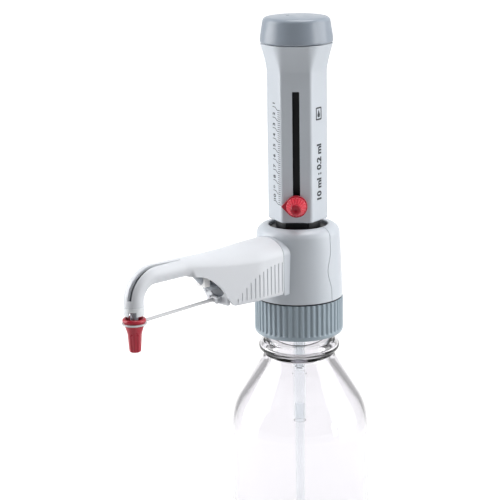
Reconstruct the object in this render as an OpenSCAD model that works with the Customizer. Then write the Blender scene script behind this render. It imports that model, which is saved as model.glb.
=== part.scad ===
// Bottle-top dispensing burette: a hand-lifted piston barrel on a swivelling valve head,
// screwed to a round laboratory bottle. Millimetres, +Z up, origin at the centre of the
// bottle's base, dispensing arm along -X.

/* [Bottle] */
// Outer radius of the bottle
bottle_r = 43; // [41:0.5:46]
// Height of the bottle's mouth above its base
mouth_z = 176; // [170:1:190]
// Thickness of the glass wall
glass_t = 2.4; // [2:0.1:2.8]
// Radius of the bead below the thread
bead_r = 24.8; // [24.4:0.1:25.4]

/* [Thread collar] */
// Outer radius of the ribbed collar
collar_r = 27; // [26.5:0.1:27.5]
// Height of the collar
collar_h = 22.5; // [22:0.1:23]
// Number of grip ribs round the collar
collar_ribs = 48; // [36:2:52]

/* [Valve head] */
// Radius of the head's shell at its foot
head_r = 26.8; // [26.5:0.1:27]
// Height of the head's shell
head_h = 44.4; // [44:0.1:45]
// Radius of the opening in the head's top
head_open_r = 17.7; // [17.6:0.1:18]

/* [Dispensing arm] */
// Reach of the nozzle from the bottle's axis
nozzle_s = 130; // [125:1:135]
// Half width of the arm where it meets the head
arm_w = 14.5; // [14:0.1:15]
// Outer radius of the arm's tubular end
arm_tube_r = 5.7; // [5.6:0.1:5.8]
// Radius of the arm's bend, on its centre line
bend_r = 14; // [13:0.5:15]
// Outer radius of the discharge tube
tube_r = 2.3; // [2.2:0.05:2.35]
// Number of grip grooves on each side of the arm
arm_grooves = 12; // [8:1:12]

/* [Barrel and piston] */
// Distance from the axis to the barrel's flat faces
barrel_flat = 15.8; // [15.7:0.1:16]
// Radius of the barrel's rounded corners
barrel_corner = 2.5; // [2:0.1:3]
// Direction in which the barrel's slotted face looks, in degrees
slot_angle = 222; // [215:1:225]
// Bore of the glass cylinder, as a radius
cylinder_bore_r = 7.12; // [7.1:0.01:7.15]
// Radius of the top cap at its rim
top_cap_r = 21.7; // [21.5:0.1:22]

/* [Hidden] */
$fn = 96;
eps = 0.01;

// Levels, from the base of the bottle upwards.
collar_top_z = mouth_z + 6.5;
collar_low_z = collar_top_z - collar_h;
head_low_z = collar_top_z + 0.8;
head_top_z = head_low_z + head_h;
barrel_low_z = collar_top_z + 48.6;
flare_z = collar_top_z + 138;
barrel_top_z = collar_top_z + 154.4;
cap_low_z = barrel_top_z + 0.3;
cap_top_z = collar_top_z + 171;
arm_low_z = collar_top_z + 7.7;
arm_top_z = collar_top_z + 41.3;
arm_tube_z = arm_top_z - arm_tube_r;
outlet_z = collar_top_z + 19.5;
pointer_z = collar_top_z + 59.1;

// Sizes of the thread: the ridge on the glass, and the ridge inside the collar.
thread_pitch = 4;
thread_turns = 3;
thread_low_z = mouth_z - 14.6;
neck_r = 20.8;
thread_crest_r = 22.3;
collar_bore_r = 22.9;
collar_crest_r = 21.3;
ridge_root = 1.2;
ridge_crest = 0.6;
ridge_steps = 30;
mouth_bore_r = 15;

// Valve head and pump.
seal_t = 1.6;
flange_low_z = mouth_z + seal_t;
flange_top_z = flange_low_z + 2.2;
ceiling_z = flange_top_z + 0.1;
swivel_r = 16.95;
block_r = 20;
block_top_z = 210;
spigot_r = 8.5;
spigot_low_z = 165;
channel_r = 2.2;
cylinder_r = 9.2;
cylinder_low_z = 207;
cylinder_top_z = 314;
sleeve_r = 13.5;
sleeve_bore_r = 10.6;
sleeve_flat = 11.7;
sleeve_low_z = 208;
sleeve_top_z = collar_top_z + 136;
barrel_bore_r = 14;
slot_w = 4.3;
holder_z = collar_top_z + 146;
intake_low_z = 136;
intake_flange_z = 161.7;
filling_low_z = 103;
filling_ring_z = 132.5;
suction_low_z = 6;
suction_high_z = 113;
intake_ball_r = 2.6;
intake_ball_z = 171.4;
outlet_ball_r = 2.2;
outlet_ball_s = 39.2;

// Arm stations.
arm_start_s = 26.8;
boss_end_s = 26.5;
arm_taper_s = 45;
arm_thin_s = 97;
arm_t = 1.8;
arch_h = 9.8;
bend_s = nozzle_s - bend_r;
collar_end_z = collar_top_z + 14.6;
arm_end_z = collar_top_z + 19.6;

// Strap and outlet cap.
pin_s = 69.5;
pin_z = collar_top_z + 11.5;
pin_r = 0.8;
ring_z = collar_top_z + 9.7;
outlet_cap_low_z = collar_top_z - 6.8;
outlet_cap_top_z = collar_top_z + 12.9;
tube_end_z = collar_top_z;

// ---------------------------------------------------------------- helpers

// Points of an arc from angle a0 to a1 about a centre.
function arc(cx, cy, r, a0, a1, n) =
  [for (i = [0:n]) let(a = a0 + (a1 - a0) * i / n) [cx + r * cos(a), cy + r * sin(a)]];

// A value that goes smoothly from 0 to 1.
function ease(t) = let(u = min(1, max(0, t))) u * u * (3 - 2 * u);

function mix(a, b, t) = a + (b - a) * t;

// Solid through a list of rings with the same number of points each. Seen from the first
// ring towards the last, the points go clockwise.
module loft(rings) {
  n = len(rings[0]);
  m = len(rings);
  points = [for (ring = rings) for (p = ring) p];
  sides = [
    for (j = [0:m - 2]) for (i = [0:n - 1])
      let(a = j * n + i, b = j * n + (i + 1) % n)
        each [[a, a + n, b + n], [a, b + n, b]]
  ];
  first = [[for (i = [0:n - 1]) i]];
  last = [[for (i = [n - 1:-1:0]) (m - 1) * n + i]];
  polyhedron(points = points, faces = concat(sides, first, last), convexity = 8);
}

// Ring with a rectangular section.
module ring(r_out, r_in, z_low, z_high) {
  translate([0, 0, z_low])
    difference() {
      cylinder(r = r_out, h = z_high - z_low);
      translate([0, 0, -1]) cylinder(r = r_in, h = z_high - z_low + 2);
    }
}

// Helical ridge whose root is buried in a wall at root_r.
module helix_ridge(root_r, crest_r, z_low) {
  steps = thread_turns * ridge_steps;
  rings = [
    for (i = [0:steps])
      let(a = 360 * i / ridge_steps, z = z_low + thread_pitch * i / ridge_steps)
        [
          for (p = [[root_r, -ridge_root], [crest_r, -ridge_crest],
                    [crest_r, ridge_crest], [root_r, ridge_root]])
            [p[0] * cos(a), p[0] * sin(a), z + p[1]]
        ]
  ];
  if (crest_r < root_r) loft(rings);
  else loft([for (r = rings) [r[3], r[2], r[1], r[0]]]);
}

// Places children built along +X so that they point along the arm, at height z.
module along_arm(z = 0) {
  rotate([0, 0, 180]) translate([0, 0, z]) children();
}

// Cylinder along +X, from s0 to s1.
module rod_x(r, s0, s1) {
  translate([s0, 0, 0]) rotate([0, 90, 0]) cylinder(r = r, h = s1 - s0);
}

// Cone along +X, from radius r0 at s0 to r1 at s1.
module cone_x(r0, r1, s0, s1) {
  translate([s0, 0, 0]) rotate([0, 90, 0]) cylinder(r1 = r0, r2 = r1, h = s1 - s0);
}

// ---------------------------------------------------------------- bottle

shoulder_low_z = 98.4;
shoulder_bend_r = 44;
shoulder_lean = 31.7;
neck_waist_r = 21.7;
neck_bend_r = 8;
neck_bend_z = 147.8;
base_bend_r = 6;

// Half outline of the glass from its heel to its waist, set in from the outside by t.
function bottle_side(t) =
  concat(
    arc(bottle_r - t - base_bend_r, t + base_bend_r, base_bend_r, -90, 0, 6),
    arc(bottle_r - shoulder_bend_r, shoulder_low_z, shoulder_bend_r - t, 0, shoulder_lean, 8),
    arc(neck_waist_r + neck_bend_r, neck_bend_z, neck_bend_r + t, 180 + shoulder_lean, 180, 4)
  );

module bottle() {
  bead_z = collar_top_z - 31;
  outer = concat(
    [[0, 0]],
    bottle_side(0),
    arc(bead_r - 3.4, bead_z, 3.4, -75, 75, 8),
    [[neck_r, bead_z + 4.2], [neck_r, mouth_z - 1]],
    arc(neck_r - 1, mouth_z - 1, 1, 0, 90, 4)
  );
  inner = concat(
    [[0, glass_t]],
    bottle_side(glass_t),
    [[mouth_bore_r, collar_low_z]],
    [[mouth_bore_r, mouth_z + 1], [0, mouth_z + 1]]
  );
  color([0.86, 0.9, 0.92, 0.4])
    difference() {
      union() {
        rotate_extrude() polygon(concat(outer, [[0, mouth_z]]));
        helix_ridge(neck_r - 0.5, thread_crest_r, thread_low_z);
      }
      rotate_extrude() polygon(inner);
    }
}

// ---------------------------------------------------------------- collar and seal

module neck_seal() {
  color("white") ring(neck_r, mouth_bore_r + 0.8, mouth_z, flange_low_z);
}

module thread_collar() {
  groove_r = 1.15;
  groove_low = collar_low_z + 3.6;
  outer = concat(
    [[0, collar_low_z], [collar_r - 3.6, collar_low_z]],
    arc(collar_r - 2.6, collar_low_z + 2.6, 2.6, -60, 0, 5),
    arc(collar_r - 0.5, collar_top_z - 0.5, 0.5, 0, 90, 3),
    [[0, collar_top_z]]
  );
  color([0.5, 0.57, 0.62])
    difference() {
      union() {
        difference() {
          rotate_extrude() polygon(outer);
          translate([0, 0, collar_low_z - 1]) cylinder(r = collar_bore_r, h = ceiling_z - collar_low_z + 1);
        }
        helix_ridge(collar_bore_r + 0.5, collar_crest_r, thread_low_z + thread_pitch / 2);
      }
      translate([0, 0, ceiling_z - 1]) cylinder(r = swivel_r + 0.05, h = 10);
      for (i = [0:collar_ribs - 1])
        rotate([0, 0, 360 * i / collar_ribs])
          translate([collar_r + groove_r * 0.4, 0, groove_low])
            cylinder(r = groove_r, h = collar_h, $fn = 24);
    }
}

module swivel_washer() {
  color([0.08, 0.08, 0.09]) ring(collar_r - 0.7, swivel_r + 0.1, collar_top_z + 0.1, head_low_z - 0.05);
}

// ---------------------------------------------------------------- valve head

module valve_block() {
  color([0.9, 0.9, 0.88])
    difference() {
      union() {
        translate([0, 0, flange_low_z]) cylinder(r = 21.3, h = flange_top_z - flange_low_z);
        translate([0, 0, flange_low_z]) cylinder(r = swivel_r, h = 8);
        translate([0, 0, head_low_z + 1]) cylinder(r = block_r, h = block_top_z - head_low_z - 1);
        translate([0, 0, spigot_low_z]) cylinder(r = spigot_r, h = 20);
        along_arm(outlet_z) rod_x(6, 10, 33);
        translate([0, 0, outlet_z]) rod_x(4.2, 10, 24);
      }
      translate([0, 0, spigot_low_z - 1]) cylinder(r = 5, h = 11);
      translate([0, 0, 170]) cylinder(r = channel_r, h = 60);
      along_arm(outlet_z) rod_x(2, 0, 40);
      translate([0, 0, outlet_z]) rod_x(1.2, 14, 30);
      translate([0, 0, cylinder_low_z - 1]) cylinder(r = cylinder_r + 0.05, h = 20);
      translate([0, 0, sleeve_low_z]) cylinder(r = sleeve_r + 0.05, h = 20);
      // Vent passage from the side port down past the seal into the bottle.
      translate([14, 0, flange_low_z - 1]) cylinder(r = 1.2, h = outlet_z - flange_low_z + 2);
    }
}

// Outline of the head's skin from its foot to its shoulder, set in by t.
function head_side(t) =
  concat(
    [[head_r - t, head_low_z]],
    [[head_r - 0.4 - t, head_low_z + 12], [head_r - 1.2 - t, head_top_z - 12]],
    arc(head_r - 7.1, head_top_z - 5.5, 5.5 - t, 0, 78, 8)
  );

module head_skin() {
  skin_t = 2;
  rim = [[head_open_r + 1.6, head_top_z], [head_open_r, head_top_z - 1]];
  difference() {
    rotate_extrude()
      polygon(concat(head_side(0), rim, [[0, head_top_z - 1], [0, head_low_z]]));
    rotate_extrude()
      polygon(concat(
        [[0, head_low_z - 1], [head_r - skin_t, head_low_z - 1]],
        head_side(skin_t),
        [[0, head_top_z - skin_t - 0.2]]
      ));
    translate([0, 0, head_low_z - 1]) cylinder(r = head_open_r, h = head_h + 2);
  }
}

// Arch section of the arm and of the boss that carries it: half width w, from low to top.
function arch(w, low, top, rise, n) =
  concat([[w, low]], [for (i = [0:n]) let(a = 180 * i / n) [w * cos(a), top - rise + rise * sin(a)]], [[-w, low]]);

module arch_bar(w, low, top, rise, s0, s1) {
  translate([s0, 0, 0])
    rotate([90, 0, 90])
      linear_extrude(height = s1 - s0) polygon(arch(w, low, top, rise, 28));
}

// Region on the arm's side of the wavy joint between the two shells, shifted by gap.
module joint_region(gap) {
  wave_z = collar_top_z + 19.5;
  edge = [
    for (i = [0:24])
      let(z = head_low_z - 2 + (head_h + 4) * i / 24, u = (z - wave_z) / 13)
        [1.6 - 2.8 * (abs(u) < 1 ? (1 + cos(180 * u)) / 2 : 0) + gap, z]
  ];
  rotate([90, 0, 0])
    linear_extrude(height = 80, center = true)
      polygon(concat([[-60, head_low_z - 2]], edge, [[-60, head_top_z + 2]]));
}

module head_front_shell() {
  color([0.84, 0.85, 0.87])
    intersection() {
      difference() {
        union() {
          head_skin();
          difference() {
            along_arm() arch_bar(arm_w, arm_low_z, arm_top_z, arch_h, 12, boss_end_s);
            translate([0, 0, head_low_z]) cylinder(r = head_r - 3, h = head_h);
          }
        }
        along_arm() arch_bar(arm_w - 2, arm_low_z + 2, arm_top_z - 2, arch_h - 2, 10, 40);
      }
      joint_region(-0.12);
    }
}

module head_rear_shell() {
  color([0.84, 0.85, 0.87])
    difference() {
      head_skin();
      joint_region(0.12);
      translate([0, 0, outlet_z]) rod_x(5.05, 15, 40);
    }
}

module vent_port() {
  color([0.5, 0.57, 0.62])
    translate([0, 0, outlet_z])
      difference() {
        union() {
          rod_x(5, 24, head_r + 1.2);
          rod_x(6.4, head_r - 0.1, head_r + 1.8);
        }
        rod_x(2.1, 23, head_r + 3);
      }
}

// ---------------------------------------------------------------- intake side

module intake_valve_body() {
  color("white")
    difference() {
      union() {
        translate([0, 0, intake_flange_z]) cylinder(r = 8, h = 2.5);
        translate([0, 0, intake_flange_z]) cylinder(r = 4.95, h = 9.3);
        translate([0, 0, intake_low_z]) cylinder(r = 3, h = intake_flange_z - intake_low_z + 1);
      }
      translate([0, 0, intake_low_z - 1]) cylinder(r = 1.8, h = 40);
      // Conical seat for the ball.
      translate([0, 0, 168.5]) cylinder(r1 = 1.0, r2 = 3.6, h = 2.6);
    }
}

module intake_seal() {
  color([0.1, 0.1, 0.1]) ring(spigot_r - 0.5, 5.1, 164.2, spigot_low_z);
}

module intake_ball() {
  color([0.75, 0.1, 0.15]) translate([0, 0, intake_ball_z]) sphere(r = intake_ball_r);
}

module filling_tube() {
  color([0.93, 0.95, 0.96])
    difference() {
      union() {
        translate([0, 0, filling_low_z]) cylinder(r = 3.9, h = 54);
        translate([0, 0, filling_ring_z - 0.6]) cylinder(r = 4.5, h = 1.2);
      }
      translate([0, 0, filling_low_z - 1]) cylinder(r = 3.05, h = 60);
    }
}

module suction_tube() {
  color([0.93, 0.95, 0.96])
    difference() {
      translate([0, 0, suction_low_z]) cylinder(r = 3, h = suction_high_z - suction_low_z);
      translate([0, 0, suction_low_z - 1]) cylinder(r = 2.2, h = 110);
      // The foot is cut at a slant so that it can't seal against the glass.
      translate([0, 0, suction_low_z - 2]) rotate([0, 25, 0]) translate([-20, -20, -10]) cube([40, 40, 10]);
    }
}

// ---------------------------------------------------------------- pump

module cylinder_seal() {
  color([0.1, 0.1, 0.1]) ring(cylinder_r, 5, cylinder_low_z - 1, cylinder_low_z);
}

module glass_cylinder() {
  color([0.8, 0.88, 0.92, 0.4]) ring(cylinder_r, cylinder_bore_r, cylinder_low_z, cylinder_top_z);
}

module guide_sleeve() {
  color([0.06, 0.06, 0.07])
    difference() {
      union() {
        translate([0, 0, sleeve_low_z]) cylinder(r = sleeve_r, h = sleeve_top_z - sleeve_low_z);
        translate([0, 0, collar_top_z + 40]) cylinder(r = head_open_r - 0.3, h = 3.4);
      }
      translate([0, 0, sleeve_low_z - 1]) cylinder(r = sleeve_bore_r, h = sleeve_top_z - sleeve_low_z + 2);
      rotate([0, 0, slot_angle])
        translate([sleeve_flat, -10, collar_top_z + 43.4]) cube([10, 20, 120]);
    }
}

module piston_head() {
  color([0.95, 0.95, 0.93])
    difference() {
      translate([0, 0, cylinder_low_z + 1]) cylinder(r = cylinder_bore_r - 0.22, h = 14);
      translate([0, 0, cylinder_low_z + 7]) cylinder(r = 3.5, h = 9);
      ring(cylinder_r, 5.8, cylinder_low_z + 3.5, cylinder_low_z + 6);
    }
}

module piston_seal() {
  color([0.85, 0.3, 0.12]) ring(cylinder_bore_r - 0.03, 5.8, cylinder_low_z + 3.5, cylinder_low_z + 6);
}

module piston_rod() {
  low = cylinder_low_z + 7;
  color([0.82, 0.83, 0.84])
    union() {
      translate([0, 0, low]) cylinder(r = 3.45, h = 9);
      translate([0, 0, cylinder_low_z + 15]) cylinder(r = 5, h = holder_z - cylinder_low_z - 15);
      translate([0, 0, holder_z]) cylinder(r = 3, h = 10);
    }
}

module rod_holder() {
  color([0.7, 0.72, 0.74])
    difference() {
      translate([0, 0, holder_z]) cylinder(r = 16.4, h = 3);
      translate([0, 0, holder_z - 1]) cylinder(r = 3.05, h = 5);
      for (i = [0:3])
        rotate([0, 0, 90 * i + 45]) translate([10.5, 0, holder_z - 1]) cylinder(r = 2, h = 5);
    }
}

module calibration_nut() {
  color([0.85, 0.12, 0.15])
    difference() {
      translate([0, 0, holder_z + 3]) cylinder(r = 7.5, h = 5);
      translate([0, 0, holder_z + 2]) cylinder(r = 3.05, h = 7);
      for (i = [0:11])
        rotate([0, 0, 30 * i]) translate([8.1, 0, holder_z + 2]) cylinder(r = 1, h = 8, $fn = 24);
    }
}

// Radius of a hexagon with flats at distance a and corners rounded to rc, towards angle t.
function hex_radius(a, rc, t) =
  let(
    f = abs(((t % 60) + 90) % 60 - 30),
    c = (a - rc) / cos(30),
    flat = a * tan(f) <= (a - rc) * tan(30)
  )
  flat ? a / cos(f) : c * cos(30 - f) + sqrt(rc * rc - pow(c * sin(30 - f), 2));

// Angles round the barrel, closer together at its rounded corners.
barrel_angles = [for (k = [0:5]) for (f = [-28, -25.5, -21, 0, 21, 25.5, 28, 30]) 60 * k + f];

function barrel_ring(z, swell) =
  let(a = mix(barrel_flat, 20.4, swell), rc = mix(barrel_corner, 12, swell))
  [for (t = barrel_angles) let(r = hex_radius(a, rc, t)) [r * cos(t + slot_angle), r * sin(t + slot_angle), z]];

module barrel() {
  flare_steps = 7;
  rings = concat(
    [barrel_ring(barrel_low_z, 0)],
    [
      for (i = [0:flare_steps])
        let(u = i / flare_steps) barrel_ring(mix(flare_z, barrel_top_z, u), pow(u, 1.3))
    ]
  );
  color([0.84, 0.85, 0.87])
    difference() {
      loft(rings);
      translate([0, 0, barrel_low_z - 1]) cylinder(r = barrel_bore_r, h = 200);
      translate([0, 0, holder_z]) cylinder(r = 16.5, h = 30);
      rotate([0, 0, slot_angle])
        translate([barrel_bore_r - 3, -slot_w / 2, collar_top_z + 53.5]) cube([8, slot_w, 73.8]);
    }
}

module top_cap() {
  outer = concat(
    [[0, cap_low_z]],
    arc(top_cap_r - 1.2, cap_low_z + 1.2, 1.2, -90, 4, 5),
    arc(top_cap_r - 1.5 - 3, cap_top_z - 4.1, 3, 4, 80, 7),
    arc(0, cap_top_z - 150, 150, 86, 90, 3)
  );
  color([0.45, 0.5, 0.55])
    difference() {
      rotate_extrude() polygon(outer);
      translate([0, 0, cap_low_z - 1]) cylinder(r = 16.5, h = 1 + cap_top_z - cap_low_z - 4.2);
      rotate([0, 0, slot_angle - 50]) translate([6.5, 0, cap_top_z - 1.2]) cylinder(r = 0.6, h = 3, $fn = 24);
    }
}

// ---------------------------------------------------------------- volume pointer

// Drop-shaped outline with its tip towards -Y, at distance reach from the centre.
module drop_outline(r, reach) {
  b = acos(r / reach);
  polygon(concat(arc(0, 0, r, b - 90, 270 - b, 40), [[0, -reach]]));
}

module at_pointer() {
  translate([0, 0, pointer_z]) rotate([0, 0, slot_angle]) children();
}

module volume_pointer() {
  color([0.78, 0.08, 0.16])
    at_pointer()
      difference() {
        translate([16, 0, 0]) rotate([0, 90, 0]) linear_extrude(height = 2.1) drop_outline(6.6, 9.1);
        rod_x(1.25, 15, 20);
      }
}

module pointer_clamp() {
  color([0.1, 0.1, 0.1])
    at_pointer()
      difference() {
        union() {
          translate([11.9, -4, -5]) cube([1.3, 8, 10]);
          translate([12, -2, -3]) cube([4, 4, 6]);
        }
        rod_x(1.25, 10, 20);
      }
}

module pointer_knob() {
  color([0.8, 0.1, 0.18])
    at_pointer()
      difference() {
        union() {
          rod_x(1.2, 12.2, 19);
          rod_x(6, 18.2, 19);
          cone_x(5.8, 3.1, 19, 27);
        }
        cone_x(0.1, 1.2, 26.2, 27.1);
        for (i = [0:11])
          rotate([30 * i, 0, 0])
            translate([19, 0, 6.2]) rotate([0, 18.5, 0]) rod_x(0.75, 0.6, 12);
      }
}

// ---------------------------------------------------------------- outlet side

module outlet_valve_body() {
  color("white")
    along_arm(outlet_z)
      difference() {
        union() {
          rod_x(6, 33.1, 35);
          rod_x(4.4, 33.1, 64);
        }
        rod_x(1.4, 30, 66);
        cone_x(1.0, 2.9, 36.4, 39.2);
        rod_x(2.9, 39, 44);
      }
}

module outlet_ball() {
  color([0.75, 0.1, 0.15]) along_arm(outlet_z) translate([outlet_ball_s, 0, 0]) sphere(r = outlet_ball_r);
}

module union_nut() {
  color([0.35, 0.38, 0.42])
    along_arm(outlet_z)
      difference() {
        rod_x(6.9, 48, 67);
        rod_x(4.5, 47, 65);
        rod_x(tube_r + 0.1, 60, 68);
        for (i = [0:17])
          rotate([20 * i, 0, 0]) translate([0, 0, 7.3]) rod_x(0.8, 47, 64);
      }
}

rise_r = 10;
rise_a = 45;
rise_s = 70;
rise_h = arm_tube_z - outlet_z;
rise_len = (rise_h - 2 * rise_r * (1 - cos(rise_a))) / sin(rise_a);
rise_end_s = rise_s + 2 * rise_r * sin(rise_a) + rise_len * cos(rise_a);

// Stations of the discharge tube's route: distance, height and downward heading.
tube_route = concat(
  [[64.1, outlet_z, 0], [rise_s, outlet_z, 0]],
  [for (k = [15:15:rise_a]) [rise_s + rise_r * sin(k), outlet_z + rise_r * (1 - cos(k)), -k]],
  [for (k = [rise_a:-15:0]) [rise_end_s - rise_r * sin(k), arm_tube_z - rise_r * (1 - cos(k)), -k]],
  [[bend_s, arm_tube_z, 0]],
  [for (k = [15:15:90]) [bend_s + bend_r * sin(k), arm_tube_z - bend_r * (1 - cos(k)), k]],
  [[nozzle_s, tube_end_z, 90]]
);

// Solid bar of radius r along the route, longer at both ends by extra.
module tube_bar(r, extra) {
  last = len(tube_route) - 1;
  loft([
    for (k = [0:last])
      let(
        p = tube_route[k],
        s = p[0] - (k == 0 ? extra : 0),
        z = p[1] - (k == last ? extra : 0)
      )
        [for (i = [0:19]) let(a = 18 * i) [s + r * sin(a) * sin(p[2]), r * cos(a), z + r * sin(a) * cos(p[2])]]
  ]);
}

module discharge_tube() {
  color([0.7, 0.75, 0.78])
    along_arm()
      difference() {
        tube_bar(tube_r, 0);
        tube_bar(tube_r - 0.8, 1);
      }
}

module tube_clip() {
  color("white")
    along_arm()
      difference() {
        translate([76, -3.6, outlet_z + 1.5]) cube([4, 7.2, arm_top_z - outlet_z - 5]);
        tube_bar(tube_r + 0.05, 0);
      }
}

// Half width of the arm at distance s from the axis.
function arm_half(s) = mix(arm_w, arm_tube_r, min(1, max(0, (s - arm_taper_s) / (arm_thin_s - arm_taper_s))));

// Top line of the arm, which dips a little along its length.
function arm_top(s) = arm_top_z - 1.0 * pow(sin(180 * min(1, max(0, (s - 27) / 83))), 2);

// Section of the arm at s, as points in its own plane, set in by t.
function arm_section(s, t) =
  let(
    w = arm_half(s) - t,
    thin = ease((s - arm_taper_s) / (arm_thin_s - arm_taper_s)),
    shut = ease((s - 86) / 6),
    top = arm_top(s) - t,
    rise = mix(arch_h, arm_tube_r, thin) - t,
    mid = top - rise,
    low = mix(arm_low_z - (t > 0 ? 8 : 0), arm_tube_z - arm_tube_r + t, shut),
    power = mix(0.12, 1, shut)
  )
  [
    for (i = [0:27])
      let(a = 360 * i / 28, c = cos(a), d = sin(a))
        d >= -eps
          ? [w * c, mid + rise * d]
          : [w * sign(c) * pow(abs(c), power), mid - (mid - low) * pow(abs(d), power)]
  ];

// All sections of the arm, from the head to the nozzle, set in by t.
function arm_rings(t, start_s, end_z) =
  let(
    r = arm_tube_r - t,
    stations = [start_s, 45, 52, 59, 66, 73, 80, 86, 88, 90, 92, 97, bend_s],
    straight = [for (s = stations) [for (p = arm_section(s, t)) [s, p[0], p[1]]]],
    bend = [
      for (k = [1:9])
        let(b = 10 * k, rim = [for (i = [0:27]) [r * cos(360 * i / 28), bend_r + r * sin(360 * i / 28)]])
          [for (p = rim) [bend_s + p[1] * sin(b), p[0], arm_tube_z - bend_r + p[1] * cos(b)]]
    ],
    down = [[for (i = [0:27]) [nozzle_s + r * sin(360 * i / 28), r * cos(360 * i / 28), end_z]]]
  )
  concat(straight, bend, down);

// Space below the arm's curved underside.
module underside_cut() {
  low = arm_low_z - 30;
  edge = [
    [61.5, 7.7], [63.6, 8.3], [65.2, 10], [68, 14.2], [70.8, 18.5],
    [73.2, 21.3], [75.8, 23.7], [79, 26.2], [82.6, 28.2], [86.5, 29.3], [93, 29.85]
  ];
  rotate([90, 0, 0])
    linear_extrude(height = 60, center = true)
      polygon(concat(
        [[61.5, low]],
        [for (p = edge) [p[0], collar_top_z + p[1]]],
        [[93, low]]
      ));
}

// Slot along the outside of the bend, a little towards the arm's -Y side as it stands.
module bend_slot() {
  slot = 2.2;
  outer = bend_r + arm_tube_r + 1;
  inner = bend_r + arm_tube_r - 2.6;
  translate([0, 1.5 + slot / 2, 0])
    rotate([90, 0, 0])
      linear_extrude(height = slot)
        polygon(concat(
          [[98, arm_tube_z - bend_r + outer]],
          arc(bend_s, arm_tube_z - bend_r, outer, 90, 4, 12),
          arc(bend_s, arm_tube_z - bend_r, inner, 4, 90, 12),
          [[101, arm_tube_z - bend_r + inner]]
        ));
}

// Grip grooves, whose tops follow a rising curve.
module grip_grooves() {
  pitch = 3.04;
  first_s = 61.6 - pitch;
  for (i = [0:arm_grooves - 1], side = [-1, 1])
    let(
      s = first_s - pitch * (i - 1),
      u = i / (arm_grooves - 1),
      low = collar_top_z + (i == 0 ? 7 : 9.7),
      high = collar_top_z + 11.2 + 16.8 * (1 - pow(1 - u, 2.2))
    )
      translate([s, side * arm_half(s), low])
        rotate([0, 0, s > arm_taper_s ? -side * 9.5 : 0])
          translate([-0.45, -0.6, 0]) cube([0.9, 1.2, high - low]);
}

module arm_bar(inset, s0, s1) {
  arch_bar(arm_w - inset, arm_low_z + inset, arm_top_z - inset, arch_h - inset, s0, s1);
}

// Tongue by which the arm plugs into the boss on the head.
module arm_spigot() {
  difference() {
    union() {
      arm_bar(2.05, 22, 27.5);
      arm_bar(1.5, 27, 31);
    }
    arm_bar(3.4, 21, 32);
  }
}

module arm_shell() {
  color([0.82, 0.83, 0.85])
    along_arm() {
      arm_spigot();
      difference() {
        loft(arm_rings(0, arm_start_s, arm_end_z));
        loft(arm_rings(arm_t, arm_start_s - 1, arm_end_z - 1));
        underside_cut();
        bend_slot();
        grip_grooves();
      }
    }
}

module nozzle_collar() {
  color([0.9, 0.92, 0.93])
    along_arm()
      translate([nozzle_s, 0, 0])
        difference() {
          ring(6, 4, collar_end_z, arm_end_z - 0.05);
          rotate([0, 0, 41]) translate([0, -2.3, collar_end_z - 1]) cube([10, 4.6, 3.7]);
        }
}

// ---------------------------------------------------------------- strap and cap

module strap_bracket() {
  half = arm_half(67.3) - arm_t - 0.05;
  color([0.8, 0.81, 0.82])
    along_arm()
      difference() {
        union() {
          translate([65.3, -half, collar_top_z + 8.6]) cube([2, 2 * half, 8.6]);
          for (y = [-3.8, 2.2])
            translate([66, y, pin_z - 1.8]) cube([5.2, 1.6, 3.6]);
        }
        translate([0, 0, outlet_z]) rod_x(7.15, 60, 68);
        translate([pin_s, 0, pin_z]) rotate([90, 0, 0]) cylinder(r = pin_r + 0.02, h = 20, center = true);
      }
}

module strap_pin() {
  color([0.75, 0.76, 0.78])
    along_arm() translate([pin_s, 0, pin_z]) rotate([90, 0, 0]) cylinder(r = pin_r, h = 7.4, center = true);
}

module cap_strap() {
  eye_r = 1.8;
  reach = nozzle_s - pin_s;
  lean = atan2(pin_z - ring_z, reach);
  color([0.94, 0.94, 0.94])
    along_arm()
      difference() {
        union() {
          translate([pin_s, 0, pin_z]) rotate([90, 0, 0]) cylinder(r = eye_r, h = 4, center = true);
          translate([pin_s, 0, pin_z]) rotate([0, lean, 0]) rod_x(1.05, 0.5, reach - 6.4);
          translate([nozzle_s, 0, 0]) ring(7.1, 5.98, ring_z - 0.5, ring_z + 0.5);
        }
        translate([pin_s, 0, pin_z]) rotate([90, 0, 0]) cylinder(r = pin_r + 0.05, h = 10, center = true);
        translate([nozzle_s, 0, ring_z - 5]) cylinder(r = 5.98, h = 10);
      }
}

module outlet_cap() {
  top = outlet_cap_top_z;
  groove_z = ring_z + 0.6;
  outer = concat(
    [[0, outlet_cap_low_z]],
    arc(3.3 - 0.8, outlet_cap_low_z + 0.8, 0.8, -90, 0, 4),
    [[4, ring_z - 5.9], [5.75, ring_z - 0.6], [5.9, ring_z - 0.55], [5.9, groove_z]],
    arc(5.4, groove_z + 1.2, 1.2, -70, 70, 6),
    [[5.4, top], [0, top]]
  );
  color([0.7, 0.1, 0.18])
    along_arm()
      translate([nozzle_s, 0, 0])
        difference() {
          rotate_extrude() polygon(outer);
          translate([0, 0, tube_end_z - 0.3])
            cylinder(r1 = tube_r + 0.25, r2 = 4.9, h = top - tube_end_z + 0.35);
          translate([0, 0, outlet_cap_low_z + 2]) cylinder(r = 1.2, h = 12);
          for (i = [0:7])
            rotate([0, 0, 45 * i + 20])
              translate([5.1, 0, outlet_cap_low_z - 1]) rotate([0, 3, 0]) cylinder(r = 1.5, h = 10.4, $fn = 24);
        }
}

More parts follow.
